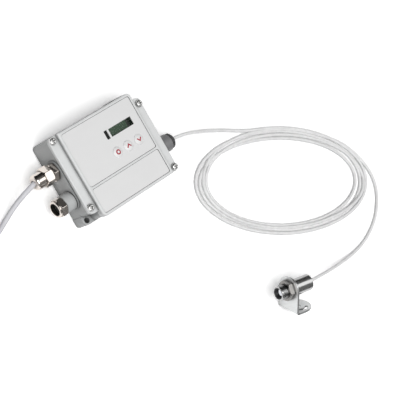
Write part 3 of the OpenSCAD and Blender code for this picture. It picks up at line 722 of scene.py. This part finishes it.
def make_materials():
    """Every finish by its name. Most names are slots of the record."""
    # The darkened gaps, inner corners and edges of these finishes are painted shade.
    nut = steel("nickel_plate", (0.74, 0.68, 0.63), 0.1)
    window = surface("clear_window", (0.02, 0.03, 0.022), roughness=0.1, Alpha=0.08)
    bracket = steel("bracket_steel", (0.70, 0.71, 0.71), 0.36, stretch=(1, 1, 0.06))
    head_body = steel("head_body", (0.50, 0.50, 0.50), 0.2, stretch=(2, 0.1, 0.1), turn=HEAD_TURN)
    dark = surface("dark_window", (0.012, 0.013, 0.013), roughness=0.4, Specular_IOR_Level=0.2)
    film = surface("label_film", (0.80, 0.80, 0.80), roughness=0.42)
    film = crease_shade(vary(film, 60, 0.012, rough=0.03), 0.0007, 0.35)
    return {
        # The base's grey is set darker than the lid's: painted shade for its walls, which face away
        # from the lamps.
        "cast_base": cast("cast_base", (0.47, 0.48, 0.48)),
        "cast_lid": cast("cast_lid", (0.74, 0.75, 0.75)),
        "screw_steel": crease_shade(steel("screw_steel", (0.70, 0.70, 0.69), 0.26), 0.002, 0.2),
        "bracket_steel": edges(crease_shade(crease_shade(bracket, 0.004, 0.3), 0.014, 0.45), 0.0006, 0.3),
        "head_body": darker_front(head_body, 0.55),
        "head_steel": edges(
            crease_shade(steel("head_steel", (0.30, 0.29, 0.28), 0.18), 0.003, 0.35), 0.0005, 0.35),
        "nickel_plate": edges(crease_shade(crease_shade(nut, 0.003, 0.2), 0.012, 0.45), 0.0005, 0.35),
        "grey_boss": cast("grey_boss", (0.50, 0.51, 0.51)),
        "detector_can": steel("detector_can", (0.74, 0.70, 0.58), 0.3),
        "gasket_rubber": plastic("gasket_rubber", (0.022, 0.022, 0.024), 0.7),
        "label_film": relief(film, 2500, 0.00002, strength=0.2),
        "clear_window": vary(window, 150, 0.01, rough=0.02),
        "dark_window": vary(dark, 150, 0.1, rough=0.02),
        "display_green": display("display_green"),
        "circuit_board": plastic("circuit_board", (0.02, 0.12, 0.05), 0.35),
        "black_plastic": plastic("black_plastic", (0.02, 0.02, 0.022), 0.45),
        "button_white": crease_shade(plastic("button_white", (0.86, 0.86, 0.86), 0.3), 0.0016, 0.5),
        "sign_red": plastic("sign_red", (0.44, 0.02, 0.04), 0.4),
        "print_black": plastic("print_black", (0.03, 0.032, 0.032), 0.4),
        "tie_black": plastic("tie_black", (0.03, 0.03, 0.032), 0.6),
        "actuator_plastic": plastic("actuator_plastic", (0.6, 0.5, 0.25), 0.5),
        "terminal_green": plastic("terminal_green", (0.03, 0.22, 0.06), 0.5),
        "capacitor_sleeve": plastic("capacitor_sleeve", (0.02, 0.025, 0.06), 0.3),
        "relief_grey": edges(
            crease_shade(plastic("relief_grey", (0.22, 0.22, 0.225), 0.4), 0.006, 0.15), 0.0005, 0.3),
        "relief_dark": edges(
            crease_shade(plastic("relief_dark", (0.07, 0.07, 0.072), 0.3), 0.0022, 0.04), 0.0006, 0.1),
        "lens_coat": steel("lens_coat", (0.66, 0.67, 0.70), 0.05),
        "cable_white": plastic("cable_white", (0.88, 0.88, 0.88), 0.34),
        "cable_grey": plastic("cable_grey", (0.68, 0.68, 0.71), 0.40),
        "core_insulation": plastic("core_insulation", (0.16, 0.05, 0.02), 0.4),
        "ferrule_metal": steel("ferrule_metal", (0.75, 0.74, 0.72), 0.3),
    }


def dress_nodes():
    """Gives each solid the finish of its slot, but the head's housing one of its own."""
    for part in frame["record"]["subparts"]:
        node = frame["nodes"][part["node"]]
        finish = "head_body" if part["node"] == "head_housing" else part["material_slot"]
        node.data.materials.clear()
        node.data.materials.append(MATERIALS[finish])


# Studio, with its places and sizes in metres

def area_lamp(name, place, target, size, power):
    """A square lamp at a place, turned to a target, with its power in watts."""
    lamp = bpy.data.lights.new(name, "AREA")
    lamp.shape = "SQUARE"
    lamp.size = size
    lamp.energy = power
    piece = bpy.data.objects.new(name, lamp)
    bpy.context.scene.collection.objects.link(piece)
    piece.location = place
    piece.rotation_mode = "QUATERNION"
    piece.rotation_quaternion = (Vector(target) - Vector(place)).to_track_quat("-Z", "Y")


def make_floor():
    """A floor that is grey in the light it gives back, and white to the eye and in mirrors.

    It keeps the shadows. To the camera it glows more with the distance, into the white world.
    """
    corners = [(x * FLOOR_HALF, y * FLOOR_HALF, 0) for x, y in SQUARE]
    mesh = bpy.data.meshes.new("floor")
    mesh.from_pydata(corners, [], [(0, 1, 2, 3)])
    floor = bpy.data.objects.new("floor", mesh)
    floor.location.z = -FLOOR_DROP
    bpy.context.scene.collection.objects.link(floor)
    material = surface("floor", FLOOR_LIT, roughness=0.9, Specular_IOR_Level=0.0)
    tree = material.node_tree
    ray = add(tree, "ShaderNodeLightPath")
    seen = add(tree, "ShaderNodeMath", _operation="MAXIMUM")
    seen_or_through = add(tree, "ShaderNodeMath", _operation="MAXIMUM")
    tree.links.new(ray.outputs["Is Camera Ray"], seen.inputs[0])
    tree.links.new(ray.outputs["Is Glossy Ray"], seen.inputs[1])
    tree.links.new(seen.outputs[0], seen_or_through.inputs[0])
    tree.links.new(ray.outputs["Is Transmission Ray"], seen_or_through.inputs[1])
    colour = chosen(tree, seen_or_through.outputs[0], FLOOR_LIT, FLOOR_SEEN)
    shader = tree.nodes["Principled BSDF"]
    tree.links.new(colour, shader.inputs["Base Color"])
    place = add(tree, "ShaderNodeTexCoord")
    distance = add(tree, "ShaderNodeVectorMath", _operation="LENGTH")
    fade = add(tree, "ShaderNodeMapRange", From_Min=0.45, From_Max=0.9, To_Min=0.15, To_Max=1.0)
    glow = add(tree, "ShaderNodeMath", _operation="MULTIPLY")
    tree.links.new(place.outputs["Object"], distance.inputs[0])
    tree.links.new(distance.outputs["Value"], fade.inputs["Value"])
    tree.links.new(fade.outputs["Result"], glow.inputs[0])
    tree.links.new(ray.outputs["Is Camera Ray"], glow.inputs[1])
    shader.inputs["Emission Color"].default_value = (1, 1, 1, 1)
    tree.links.new(glow.outputs[0], shader.inputs["Emission Strength"])
    floor.data.materials.append(material)


def make_world():
    """A grey studio, a little paler at the horizon.

    It is white where the camera sees it, and darker to one side where metal mirrors it.
    """
    world = bpy.data.worlds.new("studio")
    bpy.context.scene.world = world
    world.use_nodes = True
    tree = world.node_tree
    place = add(tree, "ShaderNodeTexCoord")
    split = add(tree, "ShaderNodeSeparateXYZ")
    ramp = add(tree, "ShaderNodeValToRGB")
    stops = ramp.color_ramp.elements
    stops[0].position = 0.0
    stops[0].color = (0.3, 0.3, 0.3, 1)
    stops[1].position = 1.0
    stops[1].color = (0.22, 0.22, 0.22, 1)
    middle = stops.new(0.12)
    middle.color = (0.2, 0.2, 0.2, 1)
    tree.links.new(place.outputs["Generated"], split.inputs["Vector"])
    tree.links.new(split.outputs["Z"], ramp.inputs["Fac"])
    ray = add(tree, "ShaderNodeLightPath")
    side = add(tree, "ShaderNodeMapRange", From_Min=0.2, From_Max=0.7, To_Min=1.0, To_Max=0.1)
    mirrored = add(tree, "ShaderNodeMix", _data_type="FLOAT", A=1.0)
    shaded = add(tree, "ShaderNodeVectorMath", _operation="SCALE")
    tree.links.new(split.outputs["Y"], side.inputs["Value"])
    tree.links.new(ray.outputs["Is Glossy Ray"], mirrored.inputs["Factor"])
    tree.links.new(side.outputs["Result"], mirrored.inputs["B"])
    tree.links.new(ramp.outputs["Color"], shaded.inputs[0])
    tree.links.new(mirrored.outputs["Result"], shaded.inputs["Scale"])
    colour = chosen(tree, ray.outputs["Is Camera Ray"], shaded.outputs[0], (1, 1, 1))
    tree.links.new(colour, tree.nodes["Background"].inputs["Color"])


def make_lights():
    """A large lamp high on the camera's side, and a weaker one behind the object."""
    aim = (0.03, -0.05, 0)
    area_lamp("key", (-0.6, -0.25, 1.35), aim, 1.3, 18)
    area_lamp("back", (0.93, -0.28, 1.3), aim, 0.9, 3.6)


def make_studio():
    """The floor, the world and the lamps, with the picture's tones left as they are."""
    bpy.context.scene.view_settings.view_transform = "Standard"
    make_floor()
    make_world()
    make_lights()


MATERIALS = make_materials()
make_camera()
make_cables()
dress_nodes()
make_buttons()
make_status_frame()
make_thread()
make_studio()
